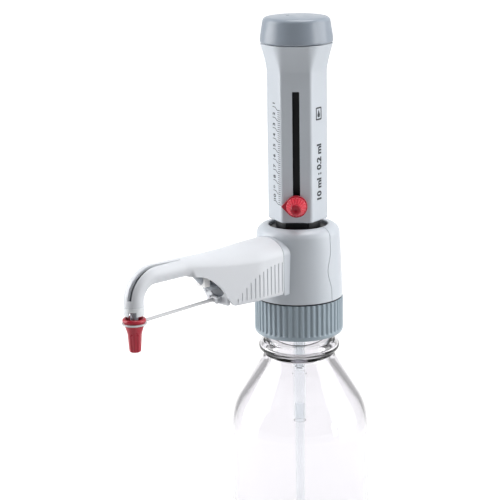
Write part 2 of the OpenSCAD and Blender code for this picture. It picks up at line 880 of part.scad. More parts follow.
bottle();
neck_seal();
thread_collar();
swivel_washer();
valve_block();
head_front_shell();
head_rear_shell();
vent_port();
intake_valve_body();
intake_seal();
intake_ball();
filling_tube();
suction_tube();
cylinder_seal();
glass_cylinder();
guide_sleeve();
piston_head();
piston_seal();
piston_rod();
rod_holder();
calibration_nut();
barrel();
top_cap();
volume_pointer();
pointer_clamp();
pointer_knob();
outlet_valve_body();
outlet_ball();
union_nut();
discharge_tube();
tube_clip();
arm_shell();
nozzle_collar();
strap_bracket();
strap_pin();
cap_strap();
outlet_cap();
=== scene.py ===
"""Looks of the bottle-top dispensing burette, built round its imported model.

Meshes are worked out in millimetres and stored in metres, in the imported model's frame: +Z up from the
centre of the bottle's base, the dispensing arm along -X, the slotted face of the barrel at 222 degrees.
"""

from math import acos, atan2, cos, degrees, pi, radians, sin, sqrt, tan

import bmesh
import bpy
from mathutils import Matrix, Vector


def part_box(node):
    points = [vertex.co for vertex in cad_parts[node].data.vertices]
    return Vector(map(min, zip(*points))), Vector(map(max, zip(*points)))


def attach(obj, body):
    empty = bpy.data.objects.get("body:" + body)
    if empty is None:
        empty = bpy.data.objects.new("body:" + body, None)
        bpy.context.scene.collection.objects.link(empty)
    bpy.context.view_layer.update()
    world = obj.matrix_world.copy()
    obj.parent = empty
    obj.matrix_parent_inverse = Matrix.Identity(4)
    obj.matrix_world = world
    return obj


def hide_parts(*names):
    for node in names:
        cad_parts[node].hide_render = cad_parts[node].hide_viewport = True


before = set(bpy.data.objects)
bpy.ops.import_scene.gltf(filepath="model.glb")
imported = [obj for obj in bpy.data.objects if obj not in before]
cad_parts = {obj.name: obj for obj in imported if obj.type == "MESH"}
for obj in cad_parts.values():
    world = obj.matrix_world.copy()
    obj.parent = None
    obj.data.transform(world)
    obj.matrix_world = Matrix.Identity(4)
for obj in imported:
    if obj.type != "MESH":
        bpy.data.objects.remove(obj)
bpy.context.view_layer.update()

MM = 0.001
SMOOTH = radians(38)


def span(node):
    """Lowest and highest corner of a CAD node, in millimetres."""
    low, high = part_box(node)
    return low / MM, high / MM


# ---------------------------------------------------------------- levels taken from the frame

mouth_z = span("bottle")[1].z
collar_low, collar_high = (corner.z for corner in span("thread_collar"))
head_low, head_high = (corner.z for corner in span("head_rear_shell"))
barrel_low, barrel_high = (corner.z for corner in span("barrel"))
cap_low, cap_high = (corner.z for corner in span("top_cap"))
nozzle_s = -(span("outlet_cap")[0].x + span("outlet_cap")[1].x) / 2
VENT_R = 6.4  # air inlet's ribbed knob
POINTER_R = 6.6  # pointer's round plate
outlet_z = span("vent_port")[0].z + VENT_R
pointer_z = span("volume_pointer")[0].z + POINTER_R

SLOT_ANGLE = 222
SCALE_ANGLE = SLOT_ANGLE - 60
LABEL_ANGLE = SLOT_ANGLE + 60


# ---------------------------------------------------------------- shapes as lists of points


def arc(cx, cy, r, a0, a1, n):
    """Points of an arc, in degrees, ends included."""
    angles = [radians(a0 + (a1 - a0) * i / n) for i in range(n + 1)]
    return [(cx + r * cos(a), cy + r * sin(a)) for a in angles]


def mix(a, b, t):
    return a + (b - a) * t


def ease(t):
    t = min(1, max(0, t))
    return t * t * (3 - 2 * t)


def grid(rings, wrap_rings=False, ends=False):
    """Vertices and faces of a surface through closed rings of equal length."""
    n = len(rings[0])
    m = len(rings)
    verts = [p for ring in rings for p in ring]
    faces = []
    for j in range(m if wrap_rings else m - 1):
        for i in range(n):
            k = (j + 1) % m
            q = (i + 1) % n
            faces.append((j * n + i, j * n + q, k * n + q, k * n + i))
    if ends:
        faces.append(tuple(range(n - 1, -1, -1)))
        faces.append(tuple((m - 1) * n + i for i in range(n)))
    return verts, faces


def lathe(profile, steps=128):
    """A closed outline of (radius, height) points turned about Z."""
    turns = [2 * pi * j / steps for j in range(steps)]
    rings = [[(r * cos(a), r * sin(a), z) for r, z in profile] for a in turns]
    return grid(rings, wrap_rings=True)


def prism(outline, low, high):
    """A flat outline of (x, y) points given thickness along Z."""
    rings = [[(x, y, z) for x, y in outline] for z in (low, high)]
    return grid(rings, ends=True)


def block(low, high):
    outline = [(low[0], low[1]), (high[0], low[1]), (high[0], high[1]), (low[0], high[1])]
    return prism(outline, low[2], high[2])


def rod(r, low, high, steps=64):
    return lathe([(0, low), (r, low), (r, high), (0, high)], steps)


def moved(shape, matrix):
    verts, faces = shape
    return [matrix @ Vector(v) for v in verts], faces


def sideways(height):
    """Turns a shape's own axis level, away from the arm, at a height."""
    return Matrix.Translation((0, 0, height)) @ Matrix.Rotation(pi / 2, 4, "Y")


def joined(*shapes):
    verts, faces = [], []
    for v, f in shapes:
        faces += [tuple(i + len(verts) for i in face) for face in f]
        verts += list(v)
    return verts, faces


ARM = Matrix.Rotation(pi, 4, "Z")


def facet_frame(angle, across=0, height=0, out=0):
    """Local X to a viewer's right, Y up and Z outward, on a vertical face that looks at an angle."""
    a = radians(angle)
    outward = Vector((cos(a), sin(a), 0))
    right = Vector((-sin(a), cos(a), 0))
    up = Vector((0, 0, 1))
    place = outward * out + right * across + up * height
    rows = [(right[i], up[i], outward[i], place[i]) for i in range(3)]
    return Matrix(rows + [(0, 0, 0, 1)])


# ---------------------------------------------------------------- objects


def mesh_object(name, shape):
    verts, faces = shape
    mesh = bpy.data.meshes.new(name)
    mesh.from_pydata([Vector(v) * MM for v in verts], [], faces)
    bm = bmesh.new()
    bm.from_mesh(mesh)
    bmesh.ops.remove_doubles(bm, verts=bm.verts, dist=2e-7)
    bmesh.ops.dissolve_degenerate(bm, edges=bm.edges, dist=1e-7)
    bmesh.ops.recalc_face_normals(bm, faces=bm.faces)
    bm.to_mesh(mesh)
    bm.free()
    obj = bpy.data.objects.new(name, mesh)
    bpy.context.scene.collection.objects.link(obj)
    return obj


def applied(obj):
    """Makes the object's modifiers part of its mesh."""
    depsgraph = bpy.context.evaluated_depsgraph_get()
    mesh = bpy.data.meshes.new_from_object(obj.evaluated_get(depsgraph))
    obj.modifiers.clear()
    obj.data = mesh
    return obj


def taken_apart(obj):
    """The points and faces of an object, which is then removed."""
    verts = [v.co / MM for v in obj.data.vertices]
    faces = [tuple(face.vertices) for face in obj.data.polygons]
    bpy.data.objects.remove(obj)
    return verts, faces


def combine(obj, operation, *shapes):
    """Boolean of the object with each shape in turn."""
    for shape in shapes:
        tool = mesh_object("tool", shape)
        modifier = obj.modifiers.new("combine", "BOOLEAN")
        modifier.operation = operation
        modifier.solver = "EXACT"
        modifier.object = tool
        applied(obj)
        bpy.data.objects.remove(tool)
    return obj


def cut(obj, *shapes):
    return combine(obj, "DIFFERENCE", *shapes)


def add(obj, *shapes):
    return combine(obj, "UNION", *shapes)


def rounded(obj, width, segments=3, angle=35):
    """Rounds the sharp edges by a width in millimetres."""
    modifier = obj.modifiers.new("rounding", "BEVEL")
    modifier.width = width * MM
    modifier.segments = segments
    modifier.limit_method = "ANGLE"
    modifier.angle_limit = radians(angle)
    modifier.use_clamp_overlap = True
    modifier.miter_outer = "MITER_ARC"
    return applied(obj)


def piece(obj, body, material, slot, *nodes, smooth=SMOOTH):
    """Finishes a piece: its shading, material, body and the CAD nodes that it stands for. Its slot is
    not used.
    """
    mesh = obj.data
    mesh.materials.clear()
    mesh.materials.append(material)
    mesh.polygons.foreach_set("use_smooth", [True] * len(mesh.polygons))
    mesh.set_sharp_from_angle(angle=smooth)
    weighted = obj.modifiers.new("normals", "WEIGHTED_NORMAL")
    weighted.keep_sharp = True
    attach(obj, body)
    if nodes:
        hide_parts(*nodes)
    return obj


# ---------------------------------------------------------------- materials


def linear(red, green, blue):
    """A colour given as the eye sees it, from 0 to 255, as the renderer wants it."""

    def channel(value):
        value /= 255
        return value / 12.92 if value <= 0.04045 else ((value + 0.055) / 1.055) ** 2.4

    return channel(red), channel(green), channel(blue), 1


def shade(colour, factor):
    return tuple(min(1, c * factor) for c in colour[:3]) + (1,)


def new_material(name):
    material = bpy.data.materials.new(name)
    material.use_nodes = True
    tree = material.node_tree
    shader = tree.nodes["Principled BSDF"]
    coordinates = tree.nodes.new("ShaderNodeTexCoord")
    return material, tree, shader, coordinates


def noise(tree, coordinates, scale, detail=4, stretch=None):
    node = tree.nodes.new("ShaderNodeTexNoise")
    node.inputs["Scale"].default_value = scale
    node.inputs["Detail"].default_value = detail
    source = coordinates.outputs["Object"]
    if stretch:
        mapping = tree.nodes.new("ShaderNodeMapping")
        mapping.inputs["Scale"].default_value = stretch
        tree.links.new(source, mapping.inputs["Vector"])
        source = mapping.outputs["Vector"]
    tree.links.new(source, node.inputs["Vector"])
    return node.outputs["Fac"]


def remap(tree, value, low, high, new_low, new_high, smooth=False):
    """Maps one range of a value to another."""
    node = tree.nodes.new("ShaderNodeMapRange")
    node.interpolation_type = "SMOOTHSTEP" if smooth else "LINEAR"
    for key, number in zip(("From Min", "From Max", "To Min", "To Max"), (low, high, new_low, new_high)):
        node.inputs[key].default_value = number
    tree.links.new(value, node.inputs["Value"])
    return node.outputs["Result"]


def uneven(tree, value, low, high):
    """Spreads a noise over a range."""
    return remap(tree, value, 0.3, 0.7, low, high)


def two_tones(tree, value, dark, light):
    node = tree.nodes.new("ShaderNodeValToRGB")
    node.color_ramp.elements[0].position = 0.3
    node.color_ramp.elements[0].color = dark
    node.color_ramp.elements[1].position = 0.7
    node.color_ramp.elements[1].color = light
    tree.links.new(value, node.inputs["Fac"])
    return node.outputs["Color"]


def bump(tree, value, strength, depth):
    node = tree.nodes.new("ShaderNodeBump")
    node.inputs["Strength"].default_value = strength
    node.inputs["Distance"].default_value = depth * MM
    tree.links.new(value, node.inputs["Height"])
    return node.outputs["Normal"]


def moulded(
    name, colour, roughness=0.35, spread=0.03, grain=0.25, grain_size=0.35, depth=0.02, specular=0.5
):
    """Moulded plastic: fine spark-eroded grain, slightly uneven tone and gloss."""
    material, tree, shader, coordinates = new_material(name)
    tone = noise(tree, coordinates, 45, 3)
    tones = two_tones(tree, tone, shade(colour, 1 - spread), shade(colour, 1 + spread))
    tree.links.new(tones, shader.inputs["Base Color"])
    fine = noise(tree, coordinates, 1000 / grain_size, 2)
    gloss = uneven(tree, noise(tree, coordinates, 180, 3), roughness - 0.04, roughness + 0.05)
    tree.links.new(gloss, shader.inputs["Roughness"])
    tree.links.new(bump(tree, fine, grain, depth), shader.inputs["Normal"])
    shader.inputs["Specular IOR Level"].default_value = specular
    return material


def ink(name, colour):
    """Printed marks, a little thin and uneven."""
    return moulded(name, colour, roughness=0.5, spread=0.15, grain=0.1, grain_size=0.2, depth=0.005)


def blown_glass(name, colour, waviness, roughness=0.0):
    """Clear glass with slow waves in its surface, darker where it is thick."""
    material, tree, shader, coordinates = new_material(name)
    shader.inputs["Base Color"].default_value = colour
    shader.inputs["Transmission Weight"].default_value = 1
    shader.inputs["IOR"].default_value = 1.47
    waves = noise(tree, coordinates, 22, 1, stretch=(1, 1, 0.35))
    tree.links.new(bump(tree, waves, waviness, 1.0), shader.inputs["Normal"])
    gloss = uneven(tree, noise(tree, coordinates, 90, 2), roughness, roughness + 0.015)
    tree.links.new(gloss, shader.inputs["Roughness"])
    body = tree.nodes.new("ShaderNodeVolumeAbsorption")
    body.inputs["Color"].default_value = (0.28, 0.25, 0.33, 1)
    body.inputs["Density"].default_value = 14
    tree.links.new(body.outputs["Volume"], tree.nodes["Material Output"].inputs["Volume"])
    return material


def clear_plastic(name, colour, roughness, transmission, ior):
    """Clear or milky plastic with faint streaks along its length."""
    material, tree, shader, coordinates = new_material(name)
    shader.inputs["Transmission Weight"].default_value = transmission
    shader.inputs["IOR"].default_value = ior
    tones = two_tones(tree, noise(tree, coordinates, 60, 2), shade(colour, 0.98), shade(colour, 1.01))
    tree.links.new(tones, shader.inputs["Base Color"])
    streaks = noise(tree, coordinates, 400, 2, stretch=(1, 1, 0.05))
    gloss = uneven(tree, streaks, roughness - 0.02, roughness + 0.02)
    tree.links.new(gloss, shader.inputs["Roughness"])
    tree.links.new(bump(tree, streaks, 0.1, 0.02), shader.inputs["Normal"])
    return material


def drawn_steel(name):
    """Bare steel with fine scratches."""
    material, tree, shader, coordinates = new_material(name)
    shader.inputs["Metallic"].default_value = 1
    shader.inputs["Base Color"].default_value = linear(190, 192, 196)
    scratches = noise(tree, coordinates, 900, 3, stretch=(1, 0.03, 1))
    tree.links.new(uneven(tree, scratches, 0.22, 0.4), shader.inputs["Roughness"])
    tree.links.new(bump(tree, scratches, 0.2, 0.01), shader.inputs["Normal"])
    return material


light_grey = moulded("light_grey", linear(191, 197, 204), roughness=0.34, spread=0.012)
arm_grey = moulded("arm_grey", linear(209, 212, 217), roughness=0.42, spread=0.012)
blue_grey = moulded("blue_grey", linear(146, 160, 170), roughness=0.34, spread=0.03)
cap_grey = moulded("cap_grey", linear(140, 149, 160), roughness=0.32, spread=0.006, grain=0.12)
dark_grey = moulded("dark_grey", linear(84, 90, 98), roughness=0.42)
black = moulded("black", linear(12, 12, 13), roughness=0.5, spread=0.1, specular=0.25)
sleeve_black = moulded("sleeve_black", linear(24, 26, 30), roughness=0.4, spread=0.1, specular=0.35)
white = moulded("white", linear(236, 236, 236), roughness=0.4, spread=0.01)
strap_white = moulded("strap_white", linear(205, 206, 209), roughness=0.4, spread=0.01)
red = moulded("red", linear(196, 40, 58), roughness=0.32, spread=0.05)
dark_red = moulded("dark_red", linear(168, 20, 42), roughness=0.3, spread=0.05)
crimson = moulded("crimson", linear(172, 28, 50), roughness=0.3, spread=0.04)
ptfe = moulded("ptfe", linear(232, 232, 226), roughness=0.5, spread=0.02)
seal_rubber = moulded("seal_rubber", linear(26, 26, 27), roughness=0.6, spread=0.1, grain=0.4)
ball_ruby = moulded("ball_ruby", linear(160, 24, 44), roughness=0.12, spread=0.05, grain=0.02)
rod_grey = moulded("rod_grey", linear(206, 209, 212), roughness=0.4)
scale_ink = ink("scale_ink", linear(30, 38, 46))
bottle_glass = blown_glass("bottle_glass", (0.945, 0.937, 0.955, 1), 0.03)
cylinder_glass = blown_glass("cylinder_glass", (0.97, 0.98, 0.98, 1), 0.0, roughness=0.02)
tube_plastic = clear_plastic("tube_plastic", linear(251, 253, 254), 0.04, 0.99, 1.06)
milky_plastic = clear_plastic("milky_plastic", linear(248, 250, 251), 0.12, 0.96, 1.08)
duct_plastic = clear_plastic("duct_plastic", linear(212, 218, 226), 0.2, 0.4, 1.3)
collar_plastic = clear_plastic("collar_plastic", linear(236, 240, 243), 0.3, 0.15, 1.4)
steel = drawn_steel("steel")


# ---------------------------------------------------------------- bottle

BOTTLE_R = span("bottle")[1].x
MOUTH_R = 15
GLASS = 2.4  # thickness of the wall and base
NECK_GLASS = 5.4  # thickness at the waist
NECK_R = 20.8
WAIST_R = 21.7
THREAD_PITCH = 4
THREAD_LOW = mouth_z - 14.6
THREAD_TURNS = 3
RIDGE_R = 22.3  # crest of the bottle's thread


def bottle_side(t, t_neck):
    """Side of the bottle from its heel to its waist, set in by t below and by t_neck at the waist."""
    heel, bend, lean, waist_bend = 6, 44, 31.7, 8
    shoulder_z, waist_z = 98.4, 147.8
    t_bend = mix(t, t_neck, 0.6)
    side = arc(BOTTLE_R - t - heel, t + heel, heel, -90, 0, 14)
    steps = 30
    for i in range(steps + 1):
        a = radians(lean * i / steps)
        r = bend - mix(t, t_bend, i / steps)
        side.append((BOTTLE_R - bend + r * cos(a), shoulder_z + r * sin(a)))
    side += arc(WAIST_R + waist_bend, waist_z, waist_bend + t_neck, 180 + lean, 180, 12)
    return side


def softened(points, passes=2):
    """Rounds an open outline by cutting its corners, its ends kept."""
    for _ in range(passes):
        soft = [points[0]]
        for (x0, y0), (x1, y1) in zip(points, points[1:]):
            soft.append((mix(x0, x1, 0.25), mix(y0, y1, 0.25)))
            soft.append((mix(x0, x1, 0.75), mix(y0, y1, 0.75)))
        soft.append(points[-1])
        points = soft
    return points


def thread_ridge(root_r, crest_r, z_low, steps=72):
    """Screw thread of the neck's pitch, as one ridge round a cylinder."""
    section = [(root_r, -1.2), (crest_r, -0.6), (crest_r, 0.6), (root_r, 1.2)]
    rings = []
    for i in range(THREAD_TURNS * steps + 1):
        a = 2 * pi * i / steps
        z = z_low + THREAD_PITCH * i / steps
        rings.append([(r * cos(a), r * sin(a), z + dz) for r, dz in section])
    return grid(rings, ends=True)


def make_bottle():
    bead_r = 24.8
    bead_bend = 3.4
    bead_z = collar_high - 31
    outer = [(0, 0)] + bottle_side(0, 0) + arc(bead_r - bead_bend, bead_z, bead_bend, -75, 75, 20)
    outer += softened([(bead_r - 3, bead_z + 3.3), (NECK_R, bead_z + 3.8), (NECK_R, mouth_z - 8)])
    outer += [(NECK_R, mouth_z - 1)] + arc(NECK_R - 1, mouth_z - 1, 1, 0, 90, 6)
    inner = [(0, GLASS)] + bottle_side(GLASS, NECK_GLASS)
    inside = [(WAIST_R - NECK_GLASS, bead_z - 8), (18.6, bead_z - 3), (bead_r - 2.2, bead_z - 0.6)]
    inside += [(bead_r - 2.4, bead_z + 1), (18.2, bead_z + 5)]
    inside += [(17.6, collar_low + 1), (15.2, collar_low + 6)]
    inner += softened(inside)
    inner += [(MOUTH_R, mouth_z - 1), (MOUTH_R + 0.6, mouth_z)]
    bottle = mesh_object("bottle_glass", lathe(outer + inner[::-1], 160))
    add(bottle, thread_ridge(NECK_R - 0.5, RIDGE_R, THREAD_LOW))
    return piece(bottle, "bottle", bottle_glass, "clear_glass", "bottle", smooth=radians(50))


# ---------------------------------------------------------------- thread collar

COLLAR_R = span("thread_collar")[1].x
RIBS = 48
GROOVE_R = 1.15
GROOVE_SET = 0.38
COLLAR_BORE = 22.9
SWIVEL_BORE = 17
COLLAR_RIDGE_R = 21.3  # crest of the collar's thread


def groove_depth(a, z):
    """Depth of the grip grooves at an angle and height."""
    pitch = 2 * pi / RIBS
    off = ((a / pitch + 0.5) % 1 - 0.5) * pitch * COLLAR_R
    deep = sqrt(max(0, GROOVE_R**2 - off**2)) - GROOVE_SET
    start = collar_low + 2.6
    return max(0, deep) * ease((z - start) / 1.4)


def make_collar():
    steps = RIBS * 14
    ceiling = mouth_z + 3.9
    side = [(COLLAR_BORE, collar_low + 0.5), (COLLAR_BORE + 0.5, collar_low)]
    side += [(COLLAR_R - 3.6, collar_low)] + arc(COLLAR_R - 2.6, collar_low + 2.6, 2.6, -67, 0, 8)
    side += [(COLLAR_R, mix(collar_low + 2.8, collar_low + 4.4, i / 5)) for i in range(6)]
    side += arc(COLLAR_R - 0.6, collar_high - 0.6, 0.6, 0, 90, 5)
    side += [(SWIVEL_BORE, collar_high), (SWIVEL_BORE, ceiling), (COLLAR_BORE, ceiling)]
    rings = []
    for j in range(steps):
        a = 2 * pi * j / steps
        ring = []
        for r, z in side:
            r -= groove_depth(a, z) if r > COLLAR_R - 1 else 0
            ring.append((r * cos(a), r * sin(a), z))
        rings.append(ring)
    thread = thread_ridge(COLLAR_BORE + 0.3, COLLAR_RIDGE_R, THREAD_LOW + THREAD_PITCH / 2)
    collar = mesh_object("ribbed_collar", joined(grid(rings, wrap_rings=True), thread))
    return piece(collar, "collar", blue_grey, "blue_grey", "thread_collar")


# ---------------------------------------------------------------- head

HEAD_R = -span("head_front_shell")[0].y
HEAD_OPEN_R = 17.7
ARM_W = 14.5
ARM_LOW = collar_high + 7.7
ARM_TOP = collar_high + 41.3
ARM_RISE = 9.8
BOSS_END = 26.5
SEAM_Z = collar_high + 19.5
SEAM_GAP = 0.4
VENT_SEAT_R = 5.05


def arch(w, low, top, rise, n=48):
    return [(w, low)] + arc_oval(w, top - rise, rise, n) + [(-w, low)]


def arc_oval(w, centre, rise, n):
    return [(w * cos(pi * i / n), centre + rise * sin(pi * i / n)) for i in range(n + 1)]


def arch_bar(inset, s0, s1):
    """Bar along the arm with its arched section, set in all round."""
    outline = arch(ARM_W - inset, ARM_LOW + inset, ARM_TOP - inset, ARM_RISE - inset)
    rings = [[(s, y, z) for y, z in outline] for s in (s0, s1)]
    return moved(grid(rings, ends=True), ARM)


def head_outline():
    top = head_high
    side = [(HEAD_R - 2, head_low), (HEAD_R - 0.5, head_low)]
    side += arc(HEAD_R - 0.5, head_low + 0.5, 0.5, -60, 0, 4)
    side += [(HEAD_R - 0.4, head_low + 12), (HEAD_R - 1.2, top - 12)]
    side += arc(HEAD_R - 7.1, top - 5.5, 5.5, 0, 82, 16)
    side += [(HEAD_OPEN_R + 1.6, top)] + arc(HEAD_OPEN_R + 1, top - 0.9, 1, 90, 180, 6)
    side += [(HEAD_OPEN_R, top - 2.2), (HEAD_R - 8, top - 2.2), (HEAD_R - 4, top - 3.6)]
    side += [(HEAD_R - 3.2, top - 12), (HEAD_R - 2.4, head_low + 12)]
    return side


def seam_region(shift):
    """Block on the arm's side of the wavy seam, with its edge shifted from the arm."""
    far, margin, steps = -60, 2, 60
    seam_x, bulge, bulge_half = 1.6, 2.8, 13
    outline = [(far, head_low - margin)]
    for i in range(steps + 1):
        z = mix(head_low - margin, head_high + margin, i / steps)
        u = (z - SEAM_Z) / bulge_half
        wave = (1 + cos(pi * u)) / 2 if abs(u) < 1 else 0
        outline.append((seam_x - bulge * wave + shift, z))
    outline.append((far, head_high + margin))
    rings = [[(x, y, z) for x, z in outline] for y in (-40, 40)]
    return grid(rings, ends=True)


def make_head():
    front = mesh_object("head_front", lathe(head_outline(), 180))
    boss = mesh_object("boss", arch_bar(0, 12, BOSS_END))
    cut(boss, rod(HEAD_R - 3, head_low - 1, head_high + 1, 96))
    add(front, taken_apart(boss))
    cut(front, arch_bar(2, 10, 40))
    combine(front, "INTERSECT", seam_region(-SEAM_GAP / 2))
    rounded(front, 0.25, 3, 50)
    piece(front, "valve_head", light_grey, "light_grey", "head_front_shell")
    rear = mesh_object("head_rear", lathe(head_outline(), 180))
    cut(rear, seam_region(SEAM_GAP / 2))
    cut(rear, moved(rod(VENT_SEAT_R, 15, 40), sideways(outlet_z)))
    rounded(rear, 0.25, 2, 50)
    piece(rear, "valve_head", light_grey, "light_grey", "head_rear_shell")


def make_vent():
    """Air inlet at the back: a flanged socket with a knurled rim."""
    steps = 96
    bore_r, ribs, rib_depth = 2.1, 24, 0.18
    side = [(bore_r, 24), (5, 24), (5, HEAD_R), (VENT_R, HEAD_R), (VENT_R, HEAD_R + 1.3)]
    side += [(6, HEAD_R + 1.8), (4.4, HEAD_R + 1.8), (4, HEAD_R + 1.3), (2.6, HEAD_R + 1.3)]
    side += [(bore_r, HEAD_R + 0.9)]
    rings = []
    for j in range(steps):
        a = 2 * pi * j / steps
        notch = rib_depth * (1 + cos(ribs * a)) / 2
        ring = []
        for r, z in side:
            r -= notch if r == VENT_R else 0
            ring.append((r * cos(a), r * sin(a), z))
        rings.append(ring)
    vent = mesh_object("air_inlet", moved(grid(rings, wrap_rings=True), sideways(outlet_z)))
    piece(vent, "valve_head", blue_grey, "blue_grey", "vent_port", smooth=radians(30))


# ---------------------------------------------------------------- barrel

FLAT = 15.8
CORNER = 2.5
TOP_FLAT = 20.4
TOP_CORNER = 12
FLARE_Z = collar_high + 138
BORE_R = 14  # barrel's bore
TOP_BORE_R = 16.5  # wider bore under the top cap
SLOT_W = 4.3
SLOT_LOW = collar_high + 53.5
SLOT_HIGH = collar_high + 127.3


def hex_radius(flat, corner, a):
    """Radius of a rounded hexagon at an angle in degrees from the middle of a face."""
    f = abs((a + 30) % 60 - 30)
    centre = (flat - corner) / cos(pi / 6)
    if flat * tan(radians(f)) <= (flat - corner) * tan(pi / 6):
        return flat / cos(radians(f))
    off = radians(30 - f)
    return centre * cos(off) + sqrt(corner**2 - (centre * sin(off)) ** 2)


FACE_ANGLES = [-30, -29, -28, -27, -26, -25, -24, -22.5, -20, -14, -7, 0]
FACE_ANGLES += [7, 14, 20, 22.5, 24, 25, 26, 27, 28, 29]


def hex_ring(z, swell, inset=0):
    """The barrel's outline at a height, from six-sided to nearly round as it swells."""
    flat = mix(FLAT, TOP_FLAT, swell)
    corner = mix(CORNER, TOP_CORNER, swell)
    ring = []
    for k in range(6):
        for f in FACE_ANGLES:
            r = hex_radius(flat, corner, 60 * k + f) - inset
            a = radians(60 * k + f + SLOT_ANGLE)
            ring.append((r * cos(a), r * sin(a), z))
    return ring


def flare(z):
    """How far the barrel has swelled at a height, from 0 to 1."""
    return max(0, (z - FLARE_Z) / (barrel_high - FLARE_Z)) ** 1.35


def slot_outline():
    r = 0.5
    x = SLOT_W / 2 - r
    outline = arc(x, SLOT_LOW + r, r, -90, 0, 4) + arc(x, SLOT_HIGH - r, r, 0, 90, 4)
    return outline + arc(-x, SLOT_HIGH - r, r, 90, 180, 4) + arc(-x, SLOT_LOW + r, r, 180, 270, 4)


def make_barrel():
    rounding = [(0, 0.7), (0.2, 0.35), (0.5, 0.08), (0.9, 0)]
    rings = [hex_ring(barrel_low + up, 0, inset) for up, inset in rounding]
    rings.append(hex_ring(FLARE_Z - 3, 0))
    steps = 16
    for i in range(steps + 1):
        z = mix(FLARE_Z, barrel_high - 0.6, i / steps)
        rings.append(hex_ring(z, flare(z)))
    for down, inset in ((0.25, 0.1), (0, 0.4)):
        rings.append(hex_ring(barrel_high - down, flare(barrel_high), inset))
    barrel = mesh_object("barrel_shell", grid(rings, ends=True))
    cut(barrel, rod(BORE_R, barrel_low - 1, barrel_high + 1, 120))
    cut(barrel, rod(TOP_BORE_R, collar_high + 146, barrel_high + 1, 120))
    slot = prism(slot_outline(), 11, 20)
    cut(barrel, moved(slot, facet_frame(SLOT_ANGLE)))
    rounded(barrel, 0.22, 2, 50)
    return piece(barrel, "barrel", light_grey, "light_grey", "barrel", smooth=radians(30))


def make_top_cap():
    """Round cap with a slightly domed top and a small dimple in it."""
    r = span("top_cap")[1].x
    side = [(TOP_BORE_R, cap_low)] + arc(r - 1.2, cap_low + 1.2, 1.2, -80, 4, 8)
    side += [(r - 0.2, cap_low + 4)]
    side += arc(r - 4.55, cap_high - 4.1, 3, 4, 80, 14)
    dome = 150
    for t in (6, 5, 4, 3, 2, 1, 0):
        side.append((dome * sin(radians(t)), cap_high - dome + dome * cos(radians(t))))
    side += [(0, cap_high - 4.2), (TOP_BORE_R, cap_high - 4.2)]
    cap = mesh_object("top_cap_shell", lathe(side, 160))
    a = radians(SLOT_ANGLE - 50)
    place = Matrix.Translation((6.5 * cos(a), 6.5 * sin(a), cap_high - 1))
    cut(cap, moved(lathe([(0, 0), (0.9, 0.6), (1.2, 2), (0, 2)], 32), place))
    return piece(cap, "barrel", cap_grey, "blue_grey", "top_cap")


def stroke_mark(x0, y0, x1, y1, width):
    """Outline of a straight printed line."""
    along = Vector((x1 - x0, y1 - y0))
    side = Vector((-along.y, along.x)).normalized() * width / 2
    corners = ((x0, y0, 1), (x0, y0, -1), (x1, y1, -1), (x1, y1, 1))
    return [(x + sign * side.x, y + sign * side.y) for x, y, sign in corners]


INK = 0.05  # thickness


def printed(name, outlines, place):
    """Flat printed marks, a few hundredths of a millimetre thick."""
    shapes = [moved(prism(outline, 0.0, INK), place) for outline in outlines]
    marks = mesh_object(name, joined(*shapes))
    return piece(marks, "barrel", scale_ink, "dark_grey")


def lettering(name, text, size, place, boldness):
    """Numbers and a plain label as a thin mesh, centred on its place and reading upward."""
    curve = bpy.data.curves.new(name, "FONT")
    curve.body = text
    curve.size = size * MM
    curve.extrude = INK / 2 * MM
    curve.offset = boldness * MM
    curve.align_x = "CENTER"
    curve.align_y = "CENTER"
    writing = bpy.data.objects.new(name, curve)
    bpy.context.scene.collection.objects.link(writing)
    depsgraph = bpy.context.evaluated_depsgraph_get()
    mesh = bpy.data.meshes.new_from_object(writing.evaluated_get(depsgraph))
    bpy.data.objects.remove(writing)
    place_m = Matrix.Translation(place.translation * MM) @ place.to_3x3().to_4x4()
    mesh.transform(place_m @ Matrix.Rotation(pi / 2, 4, "Z"))
    number = bpy.data.objects.new(name, mesh)
    bpy.context.scene.collection.objects.link(number)
    return piece(number, "barrel", scale_ink, "dark_grey")


ML = 6.295  # height of a millilitre
ML_STEPS = 5
FULL_ML = 10
SCALE_LOW = collar_high + 59.5


def make_scale():
    """Scale from 1 to 10 ml, its largest volume lowest, with a stepped stroke at each whole one."""
    face = facet_frame(SCALE_ANGLE, out=FLAT)
    edge = 8.5
    bold, fine = 0.42, 0.36
    marks = []
    for i in range((FULL_ML - 1) * ML_STEPS + 1):
        z = SCALE_LOW + i * ML / ML_STEPS
        if i % ML_STEPS == 0:
            marks.append(stroke_mark(edge, z, 4.8, z, bold))
            marks.append(stroke_mark(4.8, z, 2.4, z + 1.5, bold))
            marks.append(stroke_mark(2.4, z + 1.45, -0.9, z + 1.5, bold))
        else:
            marks.append(stroke_mark(edge, z, 5.5, z, fine))
    printed("scale_marks", marks, face)
    for number in range(1, FULL_ML + 1):
        z = SCALE_LOW + (FULL_ML - number) * ML + 3.6
        place = facet_frame(SCALE_ANGLE, across=0.9, height=z, out=FLAT + 0.03)
        lettering(f"scale_number_{number}", str(number), 3.9, place, 0.12)


def make_symbol():
    """A plain drop in a frame, and the full volume with its steps."""
    face = facet_frame(LABEL_ANGLE, out=FLAT)
    z = collar_high + 113.5
    left, right, half, line = -3.6, 1.6, 3.4, 0.9
    sides = [stroke_mark(left, z + y, right, z + y, line) for y in (-half, half)]
    sides += [stroke_mark(x, z - half - 0.2, x, z + half + 0.2, line) for x in (left, right)]
    middle = (left + right) / 2
    drop = arc(middle, z - 0.9, 1.4, -210, 30, 20) + [(middle, z + 2.4)]
    printed("drop_symbol", sides + [drop], face)
    place = facet_frame(LABEL_ANGLE, across=-0.6, height=collar_high + 78, out=FLAT + 0.03)
    lettering("volume_label", "10 ml : 0.2 ml", 6.3, place, 0.28)


